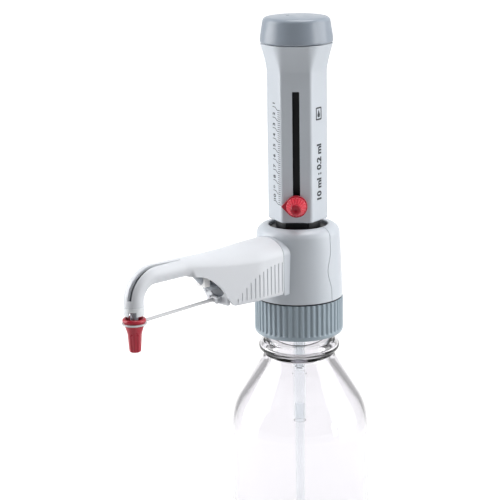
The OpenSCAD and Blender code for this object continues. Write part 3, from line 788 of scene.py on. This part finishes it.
# ---------------------------------------------------------------- volume pointer


def make_pointer():
    """Round plate that lies on the slotted face, with a tip towards the scale."""
    reach = 9.1
    b = degrees(acos(POINTER_R / reach))
    place = facet_frame(SLOT_ANGLE, height=pointer_z)
    outline = arc(0, 0, POINTER_R, 180 + b, 540 - b, 64) + arc(-reach + 0.55, 0, 0.4, 120, 240, 6)
    shape = moved(prism(outline, FLAT + 0.2, FLAT + 2.3), place)
    pointer = mesh_object("pointer_plate", shape)
    cut(pointer, moved(rod(1.25, 15, 20), place))
    rounded(pointer, 0.5, 3, 40)
    return piece(pointer, "pointer", dark_red, "red", "volume_pointer")


def make_knob():
    """Fluted cone with a round nose, on its shaft through the pointer."""
    steps, cone_steps = 240, 8
    flutes, flute_depth = 20, 0.42
    base = FLAT + 2.4
    side = [(0, 12.2), (1.2, 12.2), (1.2, base), (5.7, base), (6, base + 0.3), (5.95, base + 0.8)]
    for i in range(cone_steps + 1):
        u = i / cone_steps
        side.append((mix(5.7, 3.5, ease(u) * 0.35 + u * 0.65), mix(base + 1.1, 26.2, u)))
    side += [(3.3, 26.4), (3.0, 26.45)]
    rings = []
    for j in range(steps):
        a = 2 * pi * j / steps
        flute = flute_depth * (0.5 - 0.5 * cos(flutes * a)) ** 0.7
        ring = []
        for r, x in side:
            depth = flute * ease((x - base - 0.5) / 1.2) * ease((26.6 - x) / 0.8) if x > base else 0
            ring.append(((r - depth) * cos(a), (r - depth) * sin(a), x))
        ring.append((0, 0, 26.45))
        rings.append(ring)
    place = facet_frame(SLOT_ANGLE, height=pointer_z)
    knob = mesh_object("knob_cone", moved(grid(rings, wrap_rings=True), place))
    piece(knob, "pointer_knob", red, "red", "pointer_knob")
    nose = [(0, 26), (2.9, 26)] + arc(2.3, 26.5, 0.6, -10, 80, 6)
    nose += [(1.2, 27.1), (0.8, 26.8), (0, 26.7)]
    tip = mesh_object("knob_nose", moved(lathe(nose, 64), place))
    piece(tip, "pointer_knob", dark_red, "red")


# ---------------------------------------------------------------- arm

TUBE_R = 5.7
ARM_T = 1.8
TAPER_S, THIN_S = 45, 97
ARM_START = 26.8
BEND_R = 14
BEND_S = nozzle_s - BEND_R
TUBE_Z = ARM_TOP - TUBE_R
ARM_END = collar_high + 19.6
POINTS = 96


def arm_half(s):
    """Half the arm's width at a distance from the axis."""
    return mix(ARM_W, TUBE_R, min(1, max(0, (s - TAPER_S) / (THIN_S - TAPER_S))))


def arm_section(s, t):
    """Closed section of the arm at a distance from the axis, set in by t."""
    w = arm_half(s) - t
    thin = ease((s - TAPER_S) / (THIN_S - TAPER_S))
    shut = ease((s - 86) / 6)
    top = ARM_TOP - sin(pi * min(1, max(0, (s - 27) / 83))) ** 2 - t
    rise = mix(ARM_RISE, TUBE_R, thin) - t
    middle = top - rise
    open_low = ARM_LOW - (8 if t else 0)
    low = mix(open_low, TUBE_Z - TUBE_R + t, shut)
    power = mix(0.12, 1, shut)
    ring = []
    for i in range(POINTS):
        c, d = cos(2 * pi * i / POINTS), sin(2 * pi * i / POINTS)
        if d >= -1e-9:
            ring.append((s, w * c, middle + rise * d))
        else:
            sign = 1 if c > 0 else -1
            ring.append((s, w * sign * abs(c) ** power, middle - (middle - low) * abs(d) ** power))
    return ring


def tube_ring(r, s, z, heading, points=POINTS):
    """Round section of a pipe that heads downward by an angle in degrees."""
    b = radians(heading)
    turns = [2 * pi * i / points for i in range(points)]
    return [(s + r * sin(a) * sin(b), r * cos(a), z + r * sin(a) * cos(b)) for a in turns]


def arm_body(t, start, end_z):
    """The arm from the head round its bend to the nozzle, set in by t."""
    r = TUBE_R - t
    stations = [start] + [mix(30, 86, i / 28) for i in range(29)] + [87, 88, 89, 90, 91, 92, 94.5, 97]
    rings = [arm_section(s, t) for s in stations]
    for k in range(25):
        b = 90 * k / 24
        s = BEND_S + BEND_R * sin(radians(b))
        z = TUBE_Z - BEND_R * (1 - cos(radians(b)))
        rings.append(tube_ring(r, s, z, b))
    rings.append(tube_ring(r, nozzle_s, end_z, 90))
    return moved(grid(rings, ends=True), ARM)


def underside():
    """Space below the arm's curved lower edge."""
    edge = [(61.5, 7.7), (63.6, 8.3), (65.2, 10), (68, 14.2), (70.8, 18.5), (73.2, 21.3), (75.8, 23.7)]
    edge += [(79, 26.2), (82.6, 28.2), (86.5, 29.3), (93, 29.85)]
    low = ARM_LOW - 30
    outline = [(edge[0][0], low)] + [(s, collar_high + z) for s, z in softened(edge)]
    outline.append((edge[-1][0], low))
    rings = [[(s, y, z) for s, z in outline] for y in (-30, 30)]
    return moved(grid(rings, ends=True), ARM)


def bend_slot():
    """Slot that opens from a hair line on top to its full width round the bend."""
    outer = BEND_R + TUBE_R + 1
    inner = BEND_R + TUBE_R - 2.6
    centre_z = TUBE_Z - BEND_R
    middle = 2.2
    path = [(s, 90) for s in (97, 100, 104, 108, 112)] + [(BEND_S, 90 - 4 * k) for k in range(22)]
    rings = []
    for s, a in path:
        turn = radians(a)
        far = s - 97 + radians(90 - a) * BEND_R
        half = mix(0.25, 1.15, ease(far / 30))
        ring = []
        for radius, side in ((inner, -1), (outer, -1), (outer, 1), (inner, 1)):
            y = middle + side * half
            ring.append((s + radius * cos(turn), y, centre_z + radius * sin(turn)))
        rings.append(ring)
    return moved(grid(rings, ends=True), ARM)


def grip_grooves():
    """Upright grooves on both sides, their tops on a rising curve."""
    pitch, groove_r = 3.04, 0.5
    count = 12
    shapes = []
    for i in range(count):
        s = 61.6 - pitch * i
        u = i / (count - 1)
        low = collar_high + (7 if i == 0 else 9.9)
        high = collar_high + 12.2 + 16.2 * (1 - (1 - u) ** 2.2)
        ends = arc(0, low + groove_r, groove_r, -60, 0, 3) + arc(0, high - groove_r, groove_r, 0, 60, 3)
        capsule = lathe([(0, low)] + ends + [(0, high)], 16)
        for side in (-1, 1):
            place = ARM @ Matrix.Translation((s, side * (arm_half(s) + 0.02), 0))
            shapes.append(moved(capsule, place))
    return joined(*shapes)


def make_arm():
    arm = mesh_object("arm_housing", arm_body(0, ARM_START, ARM_END))
    hollow = arm_body(ARM_T, ARM_START - 1, ARM_END - 1)
    cut(arm, hollow, underside(), bend_slot(), grip_grooves())
    rounded(arm, 0.22, 2, 48)
    piece(arm, "valve_head", arm_grey, "light_grey", "arm_shell", smooth=radians(32))
    tongue = mesh_object("arm_tongue", arch_bar(2.05, 22, 30))
    cut(tongue, arch_bar(3.4, 21, 32))
    piece(tongue, "valve_head", arm_grey, "light_grey")


def tube_path():
    """Centre line of the discharge tube: distance, height and downward heading."""
    start_s, rise_r, rise_a, rise_s = 64.1, 10, 45, 70
    height = TUBE_Z - outlet_z
    length = (height - 2 * rise_r * (1 - cos(radians(rise_a)))) / sin(radians(rise_a))
    end_s = rise_s + 2 * rise_r * sin(radians(rise_a)) + length * cos(radians(rise_a))
    path = [(start_s, outlet_z, 0)]
    for k in range(0, rise_a + 1, 5):
        b = radians(k)
        path.append((rise_s + rise_r * sin(b), outlet_z + rise_r * (1 - cos(b)), -k))
    for k in range(rise_a, -1, -5):
        b = radians(k)
        path.append((end_s - rise_r * sin(b), TUBE_Z - rise_r * (1 - cos(b)), -k))
    for k in range(0, 91, 6):
        b = radians(k)
        path.append((BEND_S + BEND_R * sin(b), TUBE_Z - BEND_R * (1 - cos(b)), k))
    path.append((nozzle_s, span("discharge_tube")[0].z, 90))
    return path


def make_discharge_tube():
    path = tube_path()
    outer_r, bore_r, points = 2.3, 1.5, 40
    outer = [tube_ring(outer_r, s, z, b, points) for s, z, b in path]
    inner = [tube_ring(bore_r, s, z, b, points) for s, z, b in reversed(path)]
    tube = mesh_object("discharge_pipe", moved(grid(outer + inner, wrap_rings=True), ARM))
    piece(tube, "valve_head", duct_plastic, "clear_tube", "discharge_tube")


def make_nozzle_collar():
    """Clear ring at the arm's end, with a notch in its lower edge."""
    low, high = (corner.z for corner in span("nozzle_collar"))
    notch_half, notch_high, notch_angle = 2.3, 2.7, 221
    side = [(4, low), (5.7, low), (6, low + 0.3), (6, high), (4, high)]
    place = Matrix.Translation((-nozzle_s, 0, 0))
    collar = mesh_object("nozzle_ring", moved(lathe(side, 96), place))
    notch = block((0, -notch_half, low - 1), (10, notch_half, low + notch_high))
    cut(collar, moved(notch, place @ Matrix.Rotation(radians(notch_angle), 4, "Z")))
    rounded(collar, 0.15, 2, 50)
    piece(collar, "valve_head", collar_plastic, "clear_tube", "nozzle_collar")


# ---------------------------------------------------------------- strap and cap

PIN_S = 69.5
PIN_Z = collar_high + 11.5
RING_Z = collar_high + 9.7


def make_strap():
    """Eye on the pin, a thin rod and the ring that holds the cap."""
    reach = nozzle_s - PIN_S
    drop = PIN_Z - RING_Z
    lean = atan2(drop, reach)
    length = sqrt(reach**2 + drop**2) - 6.3
    pivot = Matrix.Translation((PIN_S, 0, PIN_Z))
    along = pivot @ Matrix.Rotation(lean, 4, "Y") @ Matrix.Rotation(pi / 2, 4, "Y")
    eye = [(0.85, -2), (1.6, -2), (1.8, -1.8), (1.8, 1.8), (1.6, 2), (0.85, 2)]
    shaft = [(0, 1.2), (1.25, 1.2), (1.1, 4), (0.95, 10)]
    shaft += [(0.92, length - 8), (1.0, length - 2), (0.75, length), (0, length)]
    band = [(5.98, RING_Z - 0.45), (6.9, RING_Z - 0.5)] + arc(6.6, RING_Z, 0.5, -70, 70, 8)
    band += [(6.9, RING_Z + 0.5), (5.98, RING_Z + 0.45)]
    shape = joined(
        moved(lathe(eye, 48), pivot @ Matrix.Rotation(pi / 2, 4, "X")),
        moved(lathe(shaft, 40), along),
        moved(lathe(band, 120), Matrix.Translation((nozzle_s, 0, 0))),
    )
    strap = mesh_object("strap", moved(shape, ARM))
    piece(strap, "strap", strap_white, "white", "cap_strap")


def make_outlet_cap():
    """Screw cap with a round flange, a waist for the strap's ring and finger flats."""
    low, high = (corner.z for corner in span("outlet_cap"))
    groove = RING_Z + 0.6
    side = [(0, low)] + arc(2.5, low + 0.8, 0.8, -90, 0, 8) + [(3.65, RING_Z - 11.2), (4, RING_Z - 6.1)]
    side += [(4.25, RING_Z - 5.1), (5.6, RING_Z - 0.9), (5.85, RING_Z - 0.5), (5.9, groove)]
    side += arc(5.45, groove + 1.25, 1.25, -70, 80, 12) + [(5.2, high - 0.05), (4.95, high - 0.2)]
    outside = len(side)
    side += [(2.55, collar_high - 0.3), (1.2, collar_high - 0.5), (1.2, low + 2), (0, low + 2)]
    steps = 192
    flats, flat_depth = 8, 0.34
    rings = []
    for j in range(steps):
        a = 2 * pi * j / steps
        flat = flat_depth * (0.5 - 0.5 * cos(flats * a)) ** 1.5
        ring = []
        for i, (r, z) in enumerate(side):
            grip = ease((RING_Z - 4.5 - z) / 3) * ease(z - low)
            depth = flat * grip if i < outside and r > 1.5 else 0
            ring.append(((r - depth) * cos(a), (r - depth) * sin(a), z))
        rings.append(ring)
    shape = moved(grid(rings, wrap_rings=True), Matrix.Translation((-nozzle_s, 0, 0)))
    cap = mesh_object("nozzle_cap", shape)
    piece(cap, "outlet_cap", crimson, "crimson", "outlet_cap")


# ---------------------------------------------------------------- tubes in the bottle


def make_filling_tube():
    """Upper tube, with a small ring round it."""
    low, high = (corner.z for corner in span("filling_tube"))
    outer_r, bore_r, ring_z = 3.9, 3.05, 132.5
    side = [(bore_r, low), (outer_r - 0.2, low), (outer_r, low + 0.2), (outer_r, ring_z - 0.7)]
    side += arc(outer_r, ring_z, 0.6, -80, 80, 8)
    side += [(outer_r, ring_z + 0.7), (outer_r, high), (bore_r, high)]
    tube = mesh_object("filling_pipe", lathe(side, 72))
    piece(tube, "valve_head", tube_plastic, "clear_tube", "filling_tube")


def make_suction_tube():
    """Lower tube, cut at a slant near the bottle's base."""
    low, high = (corner.z for corner in span("suction_tube"))
    outer_r, bore_r = 3, 2.2
    side = [(bore_r, low - 4), (outer_r, low - 4), (outer_r, high - 0.2), (outer_r - 0.2, high)]
    side.append((bore_r, high))
    tube = mesh_object("suction_pipe", lathe(side, 64))
    slant = Matrix.Translation((0, 0, 4)) @ Matrix.Rotation(radians(25), 4, "Y")
    cut(tube, moved(block((-20, -20, -20), (20, 20, 0)), slant))
    piece(tube, "suction_tube", tube_plastic, "clear_tube", "suction_tube")


# ---------------------------------------------------------------- CAD nodes that stay

KEPT = {
    "neck_seal": ptfe,
    "swivel_washer": black,
    "valve_block": ptfe,
    "intake_valve_body": milky_plastic,
    "intake_seal": seal_rubber,
    "intake_ball": ball_ruby,
    "cylinder_seal": seal_rubber,
    "glass_cylinder": cylinder_glass,
    "guide_sleeve": sleeve_black,
    "piston_head": ptfe,
    "piston_seal": seal_rubber,
    "piston_rod": rod_grey,
    "rod_holder": dark_grey,
    "calibration_nut": red,
    "pointer_clamp": black,
    "outlet_valve_body": white,
    "outlet_ball": ball_ruby,
    "union_nut": dark_grey,
    "tube_clip": white,
    "strap_bracket": arm_grey,
    "strap_pin": steel,
}


def dress_kept_nodes():
    for name, material in KEPT.items():
        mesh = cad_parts[name].data
        mesh.materials.clear()
        mesh.materials.append(material)


# ---------------------------------------------------------------- studio

CAMERA_HEADING = 46.72
CAMERA_TILT = 13.886
CAMERA_ROLL = -0.924
CAMERA_REACH = 979.3
CAMERA_RISE = 270.8
CAMERA_SIDE = 225
CAMERA_LENS = 119.4


def make_camera():
    data = bpy.data.cameras.new("camera")
    data.sensor_width = 36
    data.lens = CAMERA_LENS
    camera = bpy.data.objects.new("camera", data)
    a = radians(CAMERA_SIDE)
    place = Vector((CAMERA_REACH * cos(a), CAMERA_REACH * sin(a), collar_high + CAMERA_RISE)) * MM
    heading = Matrix.Rotation(radians(CAMERA_HEADING - 90), 4, "Z")
    tilt = Matrix.Rotation(radians(90 - CAMERA_TILT), 4, "X")
    roll = Matrix.Rotation(radians(CAMERA_ROLL), 4, "Z")
    camera.matrix_world = Matrix.Translation(place) @ heading @ tilt @ roll
    bpy.context.scene.collection.objects.link(camera)
    bpy.context.scene.camera = camera


def soft_light(name, side, height, distance, width, tall, power):
    """Rectangular soft light that looks at the middle of the object, in metres, watts and degrees.

    Its side is the angle from the camera's side of the object, seen from above.
    """
    data = bpy.data.lights.new(name, "AREA")
    data.shape = "RECTANGLE"
    data.size = width
    data.size_y = tall
    data.energy = power
    light = bpy.data.objects.new(name, data)
    a = radians(CAMERA_SIDE + side)
    place = Vector((distance * cos(a), distance * sin(a), height))
    aim = Vector((0, 0, 0.2)) - place
    turn = aim.to_track_quat("-Z", "Y").to_matrix().to_4x4()
    light.matrix_world = Matrix.Translation(place) @ turn
    bpy.context.scene.collection.objects.link(light)


# Low, high and the brightness at each, by how far a direction points towards the camera.
BACKDROP = (-0.98, -0.9, 1.1, 0.5)
FRONT_DIM = (-0.2, 0.45, 1.0, 0.08)


def math_node(tree, operation, first, second=0.0):
    """A calculation with two values, each a socket or a number."""
    node = tree.nodes.new("ShaderNodeMath")
    node.operation = operation
    for socket, value in zip(node.inputs, (first, second)):
        if isinstance(value, (int, float)):
            socket.default_value = value
        else:
            tree.links.new(value, socket)
    return node.outputs["Value"]


def dot_node(tree, source, direction):
    """How far a vector reaches in a direction."""
    node = tree.nodes.new("ShaderNodeVectorMath")
    node.operation = "DOT_PRODUCT"
    node.inputs[1].default_value = direction
    tree.links.new(source, node.inputs[0])
    return node.outputs["Value"]


def make_world():
    """Surroundings that are white behind the object and dim beside and in front of it."""
    world = bpy.data.worlds.new("studio")
    bpy.context.scene.world = world
    world.use_nodes = True
    tree = world.node_tree
    background = tree.nodes["Background"]
    coordinates = tree.nodes.new("ShaderNodeTexCoord")
    a = radians(CAMERA_SIDE)
    facing = dot_node(tree, coordinates.outputs["Generated"], (cos(a), sin(a), 0))
    back = remap(tree, facing, *BACKDROP, smooth=True)
    front = remap(tree, facing, *FRONT_DIM)
    level = math_node(tree, "MULTIPLY", back, front)
    seen = tree.nodes.new("ShaderNodeLightPath")
    pick = tree.nodes.new("ShaderNodeMix")
    pick.inputs["B"].default_value = 1.0
    tree.links.new(seen.outputs["Is Camera Ray"], pick.inputs["Factor"])
    tree.links.new(level, pick.inputs["A"])
    tree.links.new(pick.outputs["Result"], background.inputs["Strength"])
    background.inputs["Color"].default_value = (1, 1, 1, 1)


def make_floor():
    """Pale floor that glows softly behind the object and far away, for an even pale background."""
    half = 4000
    corners = [(-half, -half, 0), (half, -half, 0), (half, half, 0), (-half, half, 0)]
    floor = mesh_object("floor", (corners, [(0, 1, 2, 3)]))
    material, tree, shader, coordinates = new_material("floor")
    shader.inputs["Roughness"].default_value = 0.8
    shader.inputs["Emission Color"].default_value = (1, 1, 1, 1)
    a = radians(CAMERA_SIDE)
    spot = coordinates.outputs["Object"]
    behind = dot_node(tree, spot, (-cos(a), -sin(a), 0))
    beside = math_node(tree, "ABSOLUTE", dot_node(tree, spot, (-sin(a), cos(a), 0)))
    spread = math_node(tree, "DIVIDE", beside, math_node(tree, "ADD", behind, 1.0))
    strength = tree.nodes.new("ShaderNodeValToRGB")
    stops = strength.color_ramp.elements
    stops[0].color = (0, 0, 0, 1)
    stops[1].color = (0.92, 0.92, 0.92, 1)
    for position, level in ((0.2, 0.4), (0.5, 0.62)):
        stops.new(position).color = (level, level, level, 1)
    # In metres: 0.15 in front of the object to 1.2 behind it.
    tree.links.new(remap(tree, behind, -0.15, 1.2, 0.0, 1.0), strength.inputs["Fac"])
    wedge = remap(tree, spread, 0.2, 0.5, 1.0, 0.0)
    glow = math_node(tree, "MULTIPLY", strength.outputs["Color"], wedge)
    distance = tree.nodes.new("ShaderNodeVectorMath")
    distance.operation = "LENGTH"
    tree.links.new(spot, distance.inputs[0])
    far = remap(tree, distance.outputs["Value"], 0.9, 3.0, 0.0, 0.4)
    total = math_node(tree, "MAXIMUM", glow, far)
    tree.links.new(total, shader.inputs["Emission Strength"])
    tones = two_tones(tree, noise(tree, coordinates, 3, 2), (0.54, 0.54, 0.54, 1), (0.56, 0.56, 0.56, 1))
    tree.links.new(tones, shader.inputs["Base Color"])
    floor.data.materials.append(material)


def make_studio():
    make_camera()
    make_world()
    make_floor()
    soft_light("left_box", side=-93, height=0.35, distance=1.0, width=0.7, tall=1.3, power=15)
    soft_light("right_box", side=88, height=0.35, distance=1.0, width=0.7, tall=1.3, power=10)
    soft_light("window_box", side=62, height=0.42, distance=1.3, width=0.2, tall=0.45, power=3)
    soft_light("top_box", side=90, height=1.4, distance=0.15, width=0.8, tall=0.8, power=12)
    bpy.context.scene.view_settings.view_transform = "Standard"


# ---------------------------------------------------------------- all of it

make_studio()
make_bottle()
make_collar()
make_head()
make_vent()
make_barrel()
make_top_cap()
make_scale()
make_symbol()
make_pointer()
make_knob()
make_arm()
make_discharge_tube()
make_nozzle_collar()
make_strap()
make_outlet_cap()
make_filling_tube()
make_suction_tube()
dress_kept_nodes()
